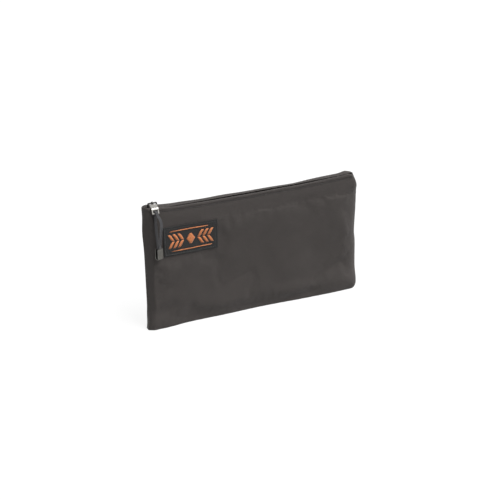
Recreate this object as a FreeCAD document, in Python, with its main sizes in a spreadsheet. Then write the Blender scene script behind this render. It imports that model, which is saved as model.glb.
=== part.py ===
# Flat padded tool pouch of black nylon with a zipper along its top edge.
# X runs along the pouch, -Y is the front, +Z is up; the origin is the middle of the foot.
import FreeCAD, Part
import math
import os
import re
import Sketcher

# Driving sizes in millimetres and degrees.
SIZES = {
    # Sewn pouch
    "bag_length": 318,
    "bag_height": 178,
    "bag_depth": 22,
    "foot_width": 16,
    "foot_rise": 14,
    "seam_depth": 5,
    "end_taper": 22,
    "corner_radius": 8,
    "fabric_thick": 0.9,
    "foam_thick": 3,
    "lining_thick": 0.5,
    "seam_margin": 4,
    "foam_margin": 5,
    # Turned hem that carries the zipper
    "mouth_depth": 18,
    "hem_height": 16,
    "hem_thick": 1.8,
    "hem_slope": 8,
    "flap_edge": 1.6,
    "flap_thick": 1,
    # Zipper tapes and teeth
    "zip_drop": 5,
    "tape_thick": 0.6,
    "tape_edge": 3.4,
    "tooth_pitch": 3,
    "tooth_root": 2.2,
    "tooth_reach": 0.9,
    "tooth_height": 2.6,
    "tooth_base": 1.4,
    "tooth_neck": 1,
    "tooth_head": 1.6,
    "tooth_tip": 0.9,
    "stop_length": 2.4,
    "stop_gap": 0.5,
    "stop_inset": 12,
    # Slider
    "slider_inset": 14.5,
    "slider_length": 17,
    "slider_width": 12,
    "slider_tail": 8.4,
    "slider_nose": 2.5,
    "slider_plate": 1.4,
    "slide_gap": 0.3,
    "throat_gap": 0.4,
    "post_length": 5,
    "post_width": 2.6,
    "post_inset": 0.6,
    # Bow on the slider that carries the pull
    "bow_wire": 2.2,
    "bow_span": 11.9,
    "bow_rise": 12.1,
    "bow_bend": 2,
    # Bent metal pull tab
    "eye_gap": 0.15,
    "eye_wall": 0.7,
    "neck_width": 2.4,
    "neck_length": 3.6,
    "tab_width": 9.8,
    "tab_thick": 1.4,
    "tab_slope": 16,
    "tab_turn": 50,
    "tab_bend": 2.5,
    "tab_reach": 10.5,
    "tab_drop": 5.5,
    "tab_bar": 1.2,
    "slot_width": 6.8,
    "slot_height": 3.9,
    # Folded strap and its clip
    "strap_twist": 20,
    "strap_width": 4.2,
    "strap_thick": 1.1,
    "fold_radius": 1.8,
    "strap_bulge": 4.8,
    "bulge_drop": 18,
    "strap_drop": 51,
    "strap_lean": 3.2,
    "clip_width": 9,
    "clip_height": 16,
    "clip_sheet": 1,
    "clip_bend": 1.6,
    # Sewn label
    "label_width": 78,
    "label_height": 43.5,
    "label_thick": 1.2,
    "label_left": 24,
    "label_top": 24.5,
    "label_corner": 1.5,
}

doc = FreeCAD.newDocument("zip_pouch")
sheet = doc.addObject("Spreadsheet::Sheet", "sizes")
for row, (size, number) in enumerate(SIZES.items(), start=1):
    sheet.set(f"A{row}", size)
    sheet.set(f"B{row}", str(number))
    sheet.setAlias(f"B{row}", size)
doc.recompute()

# Rotations that lay an outline on the side plane (Y, Z) and on the front plane (X, Z).
X_AXIS = FreeCAD.Vector(1, 0, 0)
Y_AXIS = FreeCAD.Vector(0, 1, 0)
Z_AXIS = FreeCAD.Vector(0, 0, 1)
FLAT = FreeCAD.Rotation()
SIDE = FreeCAD.Rotation(Y_AXIS, Z_AXIS, X_AXIS, "ZXY")
FRONT = FreeCAD.Rotation(X_AXIS, Z_AXIS, -Y_AXIS, "ZXY")

# Places that several pieces share, as formulas of the sizes.
ZIP_LEVEL = "(bag_height - zip_drop)"
SLIDER_REST = "(slider_inset - bag_length / 2)"
SLIDER_HALF = "(tooth_height / 2 + slide_gap + slider_plate)"
BOW_LEVEL = f"({ZIP_LEVEL} + {SLIDER_HALF} + bow_rise)"
HEM_FOOT = "(bag_height - hem_height)"
NECK_INSIDE = "(mouth_depth / 2 - hem_thick)"
ROW_START = f"({SLIDER_REST} - slider_length / 2 + post_inset + post_length + stop_gap)"
ROW_END = "(bag_length / 2 - stop_inset)"
TAB_STEEP = "(tab_slope + tab_turn)"


def bound(formula):
    """The formula with each size name tied to its cell."""
    return re.sub(
        r"[a-z]\w+",
        lambda word: f"sizes.{word[0]}" if word[0] in SIZES else word[0],
        formula,
    )


def value(formula):
    """The number that a formula of the sizes has now."""
    return float(sheet.evalExpression(bound(formula)))


def tie(sketch, constraint, formula):
    """Add a dimension to the sketch and tie it to the sizes."""
    sketch.setExpression(f"Constraints[{sketch.addConstraint(constraint)}]", bound(formula))


def arc_between(start, end, radius, outward):
    """The shorter arc from start to end, bulging out of or into a counter-clockwise outline."""
    chord = end - start
    rise = math.sqrt(radius**2 - chord.Length**2 / 4)
    left = FreeCAD.Vector(-chord.y, chord.x, 0).normalize()
    centre = (start + end) / 2 + left * (rise if outward else -rise)
    ends = [start - centre, end - centre] if outward else [end - centre, start - centre]
    angles = [math.atan2(spoke.y, spoke.x) for spoke in ends]
    return Part.ArcOfCircle(Part.Circle(centre, Z_AXIS, radius), *angles)


def draw(sketch, corners, outward=None, inward=None):
    """Draw a closed counter-clockwise outline; outward and inward give its arcs' radii by edge."""
    outward, inward = outward or {}, inward or {}
    spots = [FreeCAD.Vector(value(across), value(up), 0) for across, up in corners]
    heads, tails = [], []
    for edge, start in enumerate(spots):
        end = spots[(edge + 1) % len(spots)]
        radius = outward.get(edge) or inward.get(edge)
        if radius:
            shape = arc_between(start, end, value(radius), edge in outward)
        else:
            shape = Part.LineSegment(start, end)
        drawn = sketch.addGeometry(shape)
        heads.append((drawn, 2 if edge in inward else 1))
        tails.append((drawn, 1 if edge in inward else 2))
        if radius:
            tie(sketch, Sketcher.Constraint("Radius", drawn, value(radius)), radius)
    for edge, (across, up) in enumerate(corners):
        sketch.addConstraint(Sketcher.Constraint("Coincident", *tails[edge - 1], *heads[edge]))
        tie(sketch, Sketcher.Constraint("DistanceX", -1, 1, *heads[edge], spots[edge].x), across)
        tie(sketch, Sketcher.Constraint("DistanceY", -1, 1, *heads[edge], spots[edge].y), up)


def mirrored(corners):
    """An outline's right half, from its foot to its top, with the left half added."""
    return corners + [(f"-({across})", up) for across, up in reversed(corners)]


def moved(place, distance, angle):
    """A place moved forward and down by a distance at an angle below the level."""
    across, up = place
    return (f"{across} - ({distance}) * cos({angle})", f"{up} - ({distance}) * sin({angle})")


def prism(name, turn, length, centred, corners, outward=None):
    """A straight solid with the given outline."""
    sketch = doc.addObject("Sketcher::SketchObject", f"{name}_outline")
    sketch.Placement = FreeCAD.Placement(FreeCAD.Vector(), turn)
    draw(sketch, corners, outward)
    solid = doc.addObject("Part::Extrusion", name)
    solid.Base = sketch
    solid.DirMode = "Normal"
    solid.Solid = True
    solid.Symmetric = centred
    solid.setExpression("LengthFwd", bound(length))
    return solid


def boolean(kind, name, *shapes):
    """A cut, the common part or the union of document objects."""
    result = doc.addObject(kind, name)
    if kind == "Part::Cut":
        result.Base, result.Tool = shapes
    else:
        result.Shapes = list(shapes)
    result.Label = name
    return result


def body_at(name, across="0 * bag_length", depth="0 * bag_length", up="0 * bag_length", twist=None):
    """A body whose own origin is tied to a place of the pouch."""
    body = doc.addObject("PartDesign::Body", name)
    body.Label = name
    if twist:
        body.Placement = FreeCAD.Placement(FreeCAD.Vector(), FreeCAD.Rotation(Z_AXIS, value(twist)))
        body.setExpression("Placement.Rotation.Angle", bound(twist))
    for axis, formula in zip("xyz", (across, depth, up)):
        body.setExpression(f"Placement.Base.{axis}", bound(formula))
    return body


def sketch_in(body, plane, name):
    """An empty sketch on one of the body's own origin planes."""
    sketch = body.newObject("Sketcher::SketchObject", f"{body.Name}_{name}")
    support = next(datum for datum in body.Origin.OriginFeatures if datum.Role == plane)
    sketch.AttachmentSupport = [(support, "")]
    sketch.MapMode = "FlatFace"
    return sketch


def feature_on(kind, sketch, length):
    """A pad or pocket that runs evenly to both sides of its sketch."""
    body = sketch.getParentGeoFeatureGroup()
    feature = body.newObject(f"PartDesign::{kind}", f"{sketch.Name}_{kind.lower()}")
    feature.Profile = sketch
    feature.SideType = "Symmetric"
    feature.setExpression("Length", bound(length))
    doc.recompute()
    return feature


def pouch_form(name, inset, half_length, neck, top):
    """The pouch offset inwards: its side profile, plan and front outline, kept where all three agree."""
    end_radius = "((end_taper ^ 2 + (bag_depth - seam_depth) ^ 2 / 4) / (bag_depth - seam_depth))"
    foot_radius = "((foot_rise ^ 2 + (bag_depth - foot_width) ^ 2 / 4) / (bag_depth - foot_width))"
    belly = f"(bag_depth / 2 - {inset})"
    flat = "(bag_length / 2 - end_taper)"
    end_depth = (
        f"(bag_depth / 2 - {end_radius}"
        f" + sqrt(({end_radius} - {inset}) ^ 2 - ({half_length} - {flat}) ^ 2))"
    )
    foot = (
        f"(bag_depth / 2 - {foot_radius}"
        f" + sqrt(({foot_radius} - {inset}) ^ 2 - (foot_rise - {inset}) ^ 2))"
    )
    fold = "(hem_thick / 2)"
    side = prism(
        f"{name}_side",
        SIDE,
        "bag_length",
        True,
        mirrored(
            [
                (foot, inset),
                (belly, "foot_rise"),
                (belly, f"{HEM_FOOT} - hem_slope"),
                (neck, HEM_FOOT),
                (neck, f"{top} - {fold}"),
                (f"{neck} - {fold}", top),
            ]
        ),
        {0: f"{foot_radius} - {inset}", 4: fold, 6: fold, 10: f"{foot_radius} - {inset}"},
    )
    plan = prism(
        f"{name}_plan",
        FLAT,
        "bag_height + mouth_depth",
        False,
        [
            (f"-{flat}", f"-{belly}"),
            (flat, f"-{belly}"),
            (half_length, f"-{end_depth}"),
            (half_length, end_depth),
            (flat, belly),
            (f"-{flat}", belly),
            (f"-{half_length}", end_depth),
            (f"-{half_length}", f"-{end_depth}"),
        ],
        {edge: f"{end_radius} - {inset}" for edge in (1, 3, 5, 7)},
    )
    front = prism(
        f"{name}_front",
        FRONT,
        "2 * bag_depth",
        True,
        mirrored(
            [
                (f"{half_length} - corner_radius", inset),
                (half_length, f"{inset} + corner_radius"),
                (half_length, top),
            ]
        ),
        {0: "corner_radius", 4: "corner_radius"},
    )
    return boolean("Part::MultiCommon", name, side, plan, front)


def half_space(name, side, top):
    """A block on one side of the middle plane, from the foot up to top; it splits a form into two walls."""
    block = doc.addObject("Part::Box", name)
    block.setExpression("Length", bound("2 * bag_length"))
    block.setExpression("Width", bound("bag_depth"))
    block.setExpression("Height", bound(top))
    block.setExpression("Placement.Base.x", bound("-bag_length"))
    block.setExpression("Placement.Base.y", bound("-bag_depth" if side == "front" else "0 * bag_depth"))
    return block


# Soft walls: nylon outside, foam, then lining, each layer the space between two nested forms.
open_top = "(bag_height + mouth_depth)"
seam_end = "(bag_length / 2 - seam_margin)"
foam_end = f"({seam_end} - foam_margin)"
foam_face = "(fabric_thick + foam_thick)"
lining_face = f"({foam_face} + lining_thick)"
outside = pouch_form("outside_form", "(0 * bag_depth)", "bag_length / 2", "mouth_depth / 2", "bag_height")
nylon_inside = pouch_form("nylon_inside", "fabric_thick", seam_end, NECK_INSIDE, open_top)
foam_inside = pouch_form("foam_inside", foam_face, foam_end, NECK_INSIDE, open_top)
lining_end = f"({foam_end} - lining_thick)"
lining_inside = pouch_form("lining_inside", lining_face, lining_end, NECK_INSIDE, open_top)

nylon = boolean("Part::Cut", "nylon_shell", outside, nylon_inside)
foam = boolean("Part::Cut", "foam_shell", nylon_inside, foam_inside)
lining = boolean("Part::Cut", "lining_shell", foam_inside, lining_inside)

# The back hem runs on as a flap over the zipper, its edge clear of the slider's bow.
flap_foot = "(bag_height - flap_thick)"
flap_section = [
    ("flap_edge", flap_foot),
    ("mouth_depth / 2", flap_foot),
    ("mouth_depth / 2", "bag_height"),
    ("flap_edge", "bag_height"),
]
flap_strip = prism("flap_strip", SIDE, "bag_length", True, flap_section)
flap = boolean("Part::MultiCommon", "flap", flap_strip, outside)

pieces = []
for side in ("front", "back"):
    whole = half_space(f"{side}_half", side, open_top)
    padded = half_space(f"{side}_padded_half", side, HEM_FOOT)
    if side == "front":
        pieces.append(boolean("Part::MultiCommon", "front_panel", nylon, whole))
    else:
        wall = boolean("Part::MultiCommon", "back_wall", nylon, whole)
        pieces.append(boolean("Part::MultiFuse", "back_panel", wall, flap))
    pieces.append(boolean("Part::MultiCommon", f"{side}_foam", foam, padded))
    pieces.append(boolean("Part::MultiCommon", f"{side}_lining", lining, padded))

# Zipper tapes: a sewn leg inside the hem and a web that turns in to the teeth, ending in the side seams.
web_low = f"({ZIP_LEVEL} - tape_thick / 2)"
web_high = f"({ZIP_LEVEL} + tape_thick / 2)"
leg_inside = f"({NECK_INSIDE} - tape_thick)"
back_section = [
    ("tape_edge", web_low),
    (leg_inside, web_low),
    (leg_inside, HEM_FOOT),
    (NECK_INSIDE, HEM_FOOT),
    (NECK_INSIDE, web_high),
    ("tape_edge", web_high),
]
tape_sections = {
    "front": [(f"-{across}", up) for across, up in reversed(back_section)],
    "back": back_section,
}
for side, section in tape_sections.items():
    strip = prism(f"{side}_tape_strip", SIDE, "bag_length", True, section)
    pieces.append(boolean("Part::MultiCommon", f"{side}_tape", strip, nylon_inside))

# Tooth rows: a bead along the tape's edge with headed teeth; the back row sits half a pitch along.
tooth_neck_reach = "(tooth_reach / 2)"
row_length = f"({ROW_END} - {ROW_START})"
tooth_count = f"(floor(({row_length} - tooth_pitch / 2 - tooth_base) / tooth_pitch) + 1)"
for side, sign, shift in (("front", "-1", "0"), ("back", "1", "tooth_pitch / 2")):
    row = body_at(f"{side}_teeth", ROW_START, up=ZIP_LEVEL)
    inner, outer = f"{sign} * tooth_root", f"{sign} * tape_edge"
    low, high = (outer, inner) if side == "front" else (inner, outer)
    bead = sketch_in(row, "XY_Plane", "bead")
    draw(bead, [("0 * bag_length", low), (row_length, low), (row_length, high), ("0 * bag_length", high)])
    feature_on("Pad", bead, "tooth_height")
    middle = f"(tooth_base / 2 + {shift})"
    flank = [
        ("tooth_base / 2", f"{sign} * (tooth_root + tape_edge) / 2"),
        ("tooth_base / 2", f"{sign} * tooth_root"),
        ("tooth_neck / 2", f"{sign} * (tooth_root + {tooth_neck_reach}) / 2"),
        ("tooth_neck / 2", f"{sign} * {tooth_neck_reach}"),
        ("tooth_head / 2", f"{sign} * -{tooth_neck_reach}"),
        ("tooth_tip / 2", f"{sign} * -tooth_reach"),
    ]
    right = [(f"{middle} + {half}", reach) for half, reach in flank]
    left = [(f"{middle} - {half}", reach) for half, reach in reversed(flank)]
    tooth = sketch_in(row, "XY_Plane", "tooth")
    draw(tooth, right + left if side == "front" else (right + left)[::-1])
    tooth_pad = feature_on("Pad", tooth, "tooth_height")
    teeth = row.newObject("PartDesign::LinearPattern", f"{side}_tooth_row")
    teeth.Originals = [tooth_pad]
    teeth.Direction = (tooth, ["H_Axis"])
    teeth.setExpression("Occurrences", bound(tooth_count))
    teeth.setExpression("Length", bound(f"({tooth_count} - 1) * tooth_pitch"))
    row.Tip = teeth
    pieces.append(row)

# Stops: one on each tape beside the closed slider, and one across both tapes at the far end.
top_stop_start = f"({SLIDER_REST} - slider_length / 2 + stop_gap)"
post_side = "(post_width / 2 + throat_gap)"
stop_places = {
    "front_top_stop": (top_stop_start, "-tape_edge", f"-{post_side}"),
    "back_top_stop": (top_stop_start, post_side, "tape_edge"),
    "bottom_stop": (f"({ROW_END} + 2 * stop_gap)", "-tape_edge", "tape_edge"),
}
for name, (start, low, high) in stop_places.items():
    stop = body_at(name, start, up=ZIP_LEVEL)
    block = sketch_in(stop, "XY_Plane", "block")
    draw(
        block,
        [("0 * bag_length", low), ("stop_length", low), ("stop_length", high), ("0 * bag_length", high)],
    )
    feature_on("Pad", block, "tooth_height")
    pieces.append(stop)

# Slider: two shield-shaped plates joined by the wedge post, with flanges that keep the beads in.
slider = body_at("slider_body", SLIDER_REST, up=ZIP_LEVEL)
nose_radius = "((slider_width ^ 2 / 4 + slider_nose ^ 2) / (2 * slider_nose))"
shield = sketch_in(slider, "XY_Plane", "shield")
draw(
    shield,
    [
        ("-slider_length / 2 + slider_nose", "-slider_width / 2"),
        ("-slider_length / 8", "-slider_width / 2"),
        ("slider_length / 2", "-slider_tail / 2"),
        ("slider_length / 2", "slider_tail / 2"),
        ("-slider_length / 8", "slider_width / 2"),
        ("-slider_length / 2 + slider_nose", "slider_width / 2"),
    ],
    {5: nose_radius},
)
feature_on("Pad", shield, f"2 * {SLIDER_HALF}")
post_left = "(-slider_length / 2 + post_inset)"
post = [
    (post_left, "0 * bag_length"),
    (f"{post_left} + post_length / 2", "-post_width / 2"),
    (f"{post_left} + post_length", "0 * bag_length"),
    (f"{post_left} + post_length / 2", "post_width / 2"),
]
throat = "(tape_edge + throat_gap)"
channel = sketch_in(slider, "XY_Plane", "channel")
draw(
    channel,
    [
        ("-slider_length", f"-{throat} - post_width / 2"),
        (f"{post_left}", f"-{throat} - post_width / 2"),
        (f"{post_left} + post_length", f"-{throat}"),
        ("slider_length", f"-{throat}"),
        ("slider_length", throat),
        (f"{post_left} + post_length", throat),
        (f"{post_left}", f"{throat} + post_width / 2"),
        ("-slider_length", f"{throat} + post_width / 2"),
    ],
)
draw(channel, post)
feature_on("Pocket", channel, "tooth_height + 2 * slide_gap")
tape_slot = sketch_in(slider, "XY_Plane", "tape_slot")
draw(
    tape_slot,
    [
        ("-slider_length", "-slider_width"),
        ("slider_length", "-slider_width"),
        ("slider_length", "slider_width"),
        ("-slider_length", "slider_width"),
    ],
)
draw(tape_slot, post)
feature_on("Pocket", tape_slot, "tape_thick + 2 * throat_gap")
pieces.append(slider)

# Bow: round wire bent over the top plate, its two feet on the plate.
bow = body_at("slider_crown", SLIDER_REST, up=f"({ZIP_LEVEL} + {SLIDER_HALF})")
bow_path = sketch_in(bow, "XZ_Plane", "path")
bow_spots = [
    ("-bow_span / 2", "0 * bag_length"),
    ("-bow_span / 2", "bow_rise - bow_bend"),
    ("-bow_span / 2 + bow_bend", "bow_rise"),
    ("bow_span / 2 - bow_bend", "bow_rise"),
    ("bow_span / 2", "bow_rise - bow_bend"),
    ("bow_span / 2", "0 * bag_length"),
]
bow_points = [FreeCAD.Vector(value(across), value(up), 0) for across, up in bow_spots]
for edge, (start, end) in enumerate(zip(bow_points, bow_points[1:])):
    if edge in (1, 3):
        run = bow_path.addGeometry(arc_between(end, start, value("bow_bend"), True))
        tie(bow_path, Sketcher.Constraint("Radius", run, value("bow_bend")), "bow_bend")
        head, tail = (run, 2), (run, 1)
    else:
        run = bow_path.addGeometry(Part.LineSegment(start, end))
        head, tail = (run, 1), (run, 2)
    across, up = bow_spots[edge]
    tie(bow_path, Sketcher.Constraint("DistanceX", -1, 1, *head, start.x), across)
    tie(bow_path, Sketcher.Constraint("DistanceY", -1, 1, *head, start.y), up)
    if edge:
        bow_path.addConstraint(Sketcher.Constraint("Coincident", *last_tail, *head))
    last_tail = tail
tie(bow_path, Sketcher.Constraint("DistanceX", -1, 1, *last_tail, bow_points[-1].x), bow_spots[-1][0])
tie(bow_path, Sketcher.Constraint("DistanceY", -1, 1, *last_tail, bow_points[-1].y), bow_spots[-1][1])
wire_section = sketch_in(bow, "XY_Plane", "section")
section_circle = wire_section.addGeometry(Part.Circle(bow_points[0], Z_AXIS, value("bow_wire / 2")))
tie(wire_section, Sketcher.Constraint("Radius", section_circle, value("bow_wire / 2")), "bow_wire / 2")
wire_centre = (section_circle, 3)
tie(wire_section, Sketcher.Constraint("DistanceX", -1, 1, *wire_centre, bow_points[0].x), bow_spots[0][0])
tie(wire_section, Sketcher.Constraint("DistanceY", -1, 1, *wire_centre, 0), bow_spots[0][1])
doc.recompute()
bow_sweep = bow.newObject("PartDesign::AdditivePipe", "bow_sweep")
bow_sweep.Profile = wire_section
bow_sweep.Spine = bow_path
pieces.append(bow)

# Pull tab: an eye on the bow's wire, a narrow neck, then a plate bent down over the front hem.
tab = body_at("pull_tab", SLIDER_REST, up=BOW_LEVEL)
bore_radius = "(bow_wire / 2 + eye_gap)"
eye_radius = f"({bore_radius} + eye_wall)"
half_thick = "tab_thick / 2"
origin = ("0", "0")
bend_start = moved(origin, "tab_reach", "tab_slope")
bend_centre = moved(bend_start, "-tab_bend", "tab_slope - 90")


def plate_outline(start):
    """Side outline of the plate from a distance along its first run to its end below the bar."""
    first = moved(origin, start, "tab_slope")
    upper_bend = moved(bend_centre, f"tab_bend + {half_thick}", f"{TAB_STEEP} - 90")
    lower_bend = moved(bend_centre, f"tab_bend - {half_thick}", f"{TAB_STEEP} - 90")
    return [
        moved(first, half_thick, "tab_slope - 90"),
        moved(bend_start, half_thick, "tab_slope - 90"),
        upper_bend,
        moved(upper_bend, "tab_drop + tab_bar / 2", TAB_STEEP),
        moved(lower_bend, "tab_drop + tab_bar / 2", TAB_STEEP),
        lower_bend,
        moved(bend_start, f"-{half_thick}", "tab_slope - 90"),
        moved(first, f"-{half_thick}", "tab_slope - 90"),
    ]


plate_arcs = {"outward": {1: f"tab_bend + {half_thick}"}, "inward": {5: f"tab_bend - {half_thick}"}}
plate = sketch_in(tab, "YZ_Plane", "plate")
draw(plate, plate_outline("neck_length"), **plate_arcs)
feature_on("Pad", plate, "tab_width")
neck = sketch_in(tab, "YZ_Plane", "neck")
draw(neck, plate_outline(bore_radius), **plate_arcs)
feature_on("Pad", neck, "neck_width")
eye = sketch_in(tab, "YZ_Plane", "eye")
eye_circle = eye.addGeometry(Part.Circle(FreeCAD.Vector(), Z_AXIS, value(eye_radius)))
tie(eye, Sketcher.Constraint("Radius", eye_circle, value(eye_radius)), eye_radius)
eye.addConstraint(Sketcher.Constraint("Coincident", eye_circle, 3, -1, 1))
feature_on("Pad", eye, "neck_width")
bore = sketch_in(tab, "YZ_Plane", "bore")
bore_circle = bore.addGeometry(Part.Circle(FreeCAD.Vector(), Z_AXIS, value(bore_radius)))
tie(bore, Sketcher.Constraint("Radius", bore_circle, value(bore_radius)), bore_radius)
bore.addConstraint(Sketcher.Constraint("Coincident", bore_circle, 3, -1, 1))
feature_on("Pocket", bore, "2 * tab_width")
bar_spot = moved(moved(bend_centre, "tab_bend", f"{TAB_STEEP} - 90"), "tab_drop", TAB_STEEP)
slot_foot = moved(bar_spot, "-tab_bar / 2", TAB_STEEP)
slot_head = moved(slot_foot, "-slot_height", TAB_STEEP)
slot = sketch_in(tab, "YZ_Plane", "slot")
draw(
    slot,
    [
        moved(slot_foot, "tab_thick", f"{TAB_STEEP} - 90"),
        moved(slot_foot, "-tab_thick", f"{TAB_STEEP} - 90"),
        moved(slot_head, "-tab_thick", f"{TAB_STEEP} - 90"),
        moved(slot_head, "tab_thick", f"{TAB_STEEP} - 90"),
    ],
)
feature_on("Pocket", slot, "slot_width")
pieces.append(tab)

# Strap: flat webbing folded round the tab's bar; its rear leg hangs straight, the front leg bulges.
bar_depth, bar_rise = bar_spot
pull_place = (SLIDER_REST, bar_depth, f"{BOW_LEVEL} + {bar_rise}", "strap_twist")
strap = body_at("pull_strap", *pull_place)
tail_half = "(2 * strap_thick)"
tail_foot = "(-strap_drop - clip_height + clip_sheet)"
fold_outside = "(fold_radius + strap_thick)"
loop_outside = sketch_in(strap, "YZ_Plane", "loop")
draw(
    loop_outside,
    [
        (fold_outside, "0 * bag_length"),
        ("0 * bag_length", fold_outside),
        (f"-{fold_outside}", "0 * bag_length"),
        (f"-{fold_outside} - strap_bulge", "-bulge_drop"),
        (f"-strap_lean - {tail_half}", "-strap_drop"),
        (f"-strap_lean - {tail_half}", tail_foot),
        (f"-strap_lean + {tail_half}", tail_foot),
        (f"-strap_lean + {tail_half}", "-strap_drop"),
    ],
    {0: fold_outside, 1: fold_outside},
)
draw(
    loop_outside,
    [
        ("fold_radius", "0 * bag_length"),
        ("0 * bag_length", "fold_radius"),
        ("-fold_radius", "0 * bag_length"),
        ("-fold_radius - strap_bulge", "-bulge_drop"),
        ("-strap_lean - strap_thick", "-strap_drop"),
        ("-strap_lean + strap_thick", "-strap_drop"),
    ],
    {0: "fold_radius", 1: "fold_radius"},
)
feature_on("Pad", loop_outside, "strap_width")
pieces.append(strap)

# Clip: sheet metal folded under the doubled strap ends, open at its two sides.
clip = body_at("pull_clamp", *pull_place)
clip_out = f"({tail_half} + clip_sheet)"
clip_foot = f"({tail_foot} - clip_sheet)"
folded = sketch_in(clip, "YZ_Plane", "folded")
draw(
    folded,
    [
        (f"-strap_lean - {clip_out}", f"{clip_foot} + clip_bend"),
        (f"-strap_lean - {clip_out} + clip_bend", clip_foot),
        (f"-strap_lean + {clip_out} - clip_bend", clip_foot),
        (f"-strap_lean + {clip_out}", f"{clip_foot} + clip_bend"),
        (f"-strap_lean + {clip_out}", "-strap_drop"),
        (f"-strap_lean + {tail_half}", "-strap_drop"),
        (f"-strap_lean + {tail_half}", tail_foot),
        (f"-strap_lean - {tail_half}", tail_foot),
        (f"-strap_lean - {tail_half}", "-strap_drop"),
        (f"-strap_lean - {clip_out}", "-strap_drop"),
    ],
    {0: "clip_bend", 2: "clip_bend"},
)
feature_on("Pad", folded, "clip_width")
pieces.append(clip)

# Label: a stiff woven patch sewn flat on the front, near the slider.
label = body_at(
    "label_patch",
    "-bag_length / 2 + label_left + label_width / 2",
    "-bag_depth / 2 - label_thick / 2",
    "bag_height - label_top - label_height / 2",
)
patch = sketch_in(label, "XZ_Plane", "patch")
draw(
    patch,
    mirrored(
        [
            ("label_width / 2 - label_corner", "-label_height / 2"),
            ("label_width / 2", "-label_height / 2 + label_corner"),
            ("label_width / 2", "label_height / 2 - label_corner"),
            ("label_width / 2 - label_corner", "label_height / 2"),
        ]
    ),
    {edge: "label_corner" for edge in (0, 2, 4, 6)},
)
feature_on("Pad", patch, "label_thick")
pieces.append(label)

doc.recompute()
for thing in doc.Objects:
    if {"Invalid", "Error"} & set(thing.State):
        raise RuntimeError(f"{thing.Label} did not build: {thing.State}")
for piece in pieces:
    if piece.Shape.isNull() or not piece.Shape.isValid():
        raise RuntimeError(f"{piece.Label} has no valid shape")

os.makedirs("parts", exist_ok=True)
for piece in pieces:
    box = piece.Shape.BoundBox
    print(
        f"{piece.Label}: {len(piece.Shape.Solids)} solid, {piece.Shape.Volume:.1f} mm3,"
        f" x {box.XMin:.2f}..{box.XMax:.2f}, y {box.YMin:.2f}..{box.YMax:.2f},"
        f" z {box.ZMin:.2f}..{box.ZMax:.2f}"
    )
    piece.Shape.exportStep(f"parts/{piece.Label}.step")
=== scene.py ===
import math

import bmesh
import bpy
import numpy as np
from mathutils import Matrix, Vector, noise
from mathutils.bvhtree import BVHTree


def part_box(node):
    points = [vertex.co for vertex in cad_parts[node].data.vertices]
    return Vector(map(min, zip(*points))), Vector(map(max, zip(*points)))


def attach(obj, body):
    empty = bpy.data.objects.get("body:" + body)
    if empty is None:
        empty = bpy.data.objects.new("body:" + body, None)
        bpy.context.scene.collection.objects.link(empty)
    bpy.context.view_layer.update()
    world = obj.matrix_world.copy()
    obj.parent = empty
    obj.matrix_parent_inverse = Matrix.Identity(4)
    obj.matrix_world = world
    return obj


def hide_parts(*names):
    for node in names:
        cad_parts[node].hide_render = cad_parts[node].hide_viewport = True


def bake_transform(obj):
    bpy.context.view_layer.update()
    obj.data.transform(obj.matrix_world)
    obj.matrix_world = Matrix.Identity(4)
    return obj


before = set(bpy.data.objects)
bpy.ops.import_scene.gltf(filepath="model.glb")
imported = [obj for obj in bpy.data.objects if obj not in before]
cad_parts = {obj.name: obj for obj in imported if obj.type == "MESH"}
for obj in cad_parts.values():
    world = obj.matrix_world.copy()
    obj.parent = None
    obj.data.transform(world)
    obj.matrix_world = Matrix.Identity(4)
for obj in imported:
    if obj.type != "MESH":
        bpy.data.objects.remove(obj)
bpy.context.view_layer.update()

scene = bpy.context.scene
scene.view_settings.view_transform = "Standard"

# Camera: a long lens 1.8 m away, left of the middle and above the bag, looking at the
# middle of the front wall, with the frame tipped by less than a degree.
view_turn, view_rise, view_tip = (math.radians(angle) for angle in (-22.094, 27.008, -0.796))
view_distance = 1.8
view_target = Vector((-0.00467, 0, 0.0892))
backward = Vector(
    (
        math.sin(view_turn) * math.cos(view_rise),
        -math.cos(view_turn) * math.cos(view_rise),
        math.sin(view_rise),
    )
)
level = Vector((math.cos(view_turn), math.sin(view_turn), 0))
frame_right = level * math.cos(view_tip) + backward.cross(level) * math.sin(view_tip)
frame_up = backward.cross(frame_right)
camera = bpy.data.objects.new("camera", bpy.data.cameras.new("camera"))
camera.data.sensor_width = 36
camera.data.lens = 92.35
camera.matrix_world = Matrix.Translation(view_target + backward * view_distance) @ Matrix(
    (frame_right, frame_up, backward)
).transposed().to_4x4()
scene.collection.objects.link(camera)
scene.camera = camera


def to_scene(name, shape):
    """Link a finished bmesh to the scene as an object at the origin."""
    mesh = bpy.data.meshes.new(name)
    shape.to_mesh(mesh)
    shape.free()
    piece = bpy.data.objects.new(name, mesh)
    scene.collection.objects.link(piece)
    return piece


def node_between(tree, kind, inputs, **settings):
    """Add a shader node, set its options, then link or set its inputs by name or number."""
    node = tree.nodes.new(kind)
    for setting, choice in settings.items():
        setattr(node, setting, choice)
    for socket, source in inputs.items():
        if isinstance(source, bpy.types.NodeSocket):
            tree.links.new(source, node.inputs[socket])
        else:
            node.inputs[socket].default_value = source
    return node


def reckon(tree, operation, first, second=0.0, third=0.0):
    """One step of arithmetic in a shader."""
    return node_between(
        tree, "ShaderNodeMath", {0: first, 1: second, 2: third}, operation=operation
    ).outputs[0]


# Studio: a grey floor whose glow shows but doesn't light the bag, so that it reads white and keeps a
# soft shadow, white surroundings, a broad key light from above front right and a weak fill.


def seen_share(tree):
    """1 for rays that show the floor or sky in the picture, and 0 for those that light the bag."""
    path = tree.nodes.new("ShaderNodeLightPath")
    seen = reckon(tree, "ADD", path.outputs["Is Camera Ray"], path.outputs["Is Glossy Ray"])
    return reckon(tree, "ADD", seen, path.outputs["Is Transmission Ray"])


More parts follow.
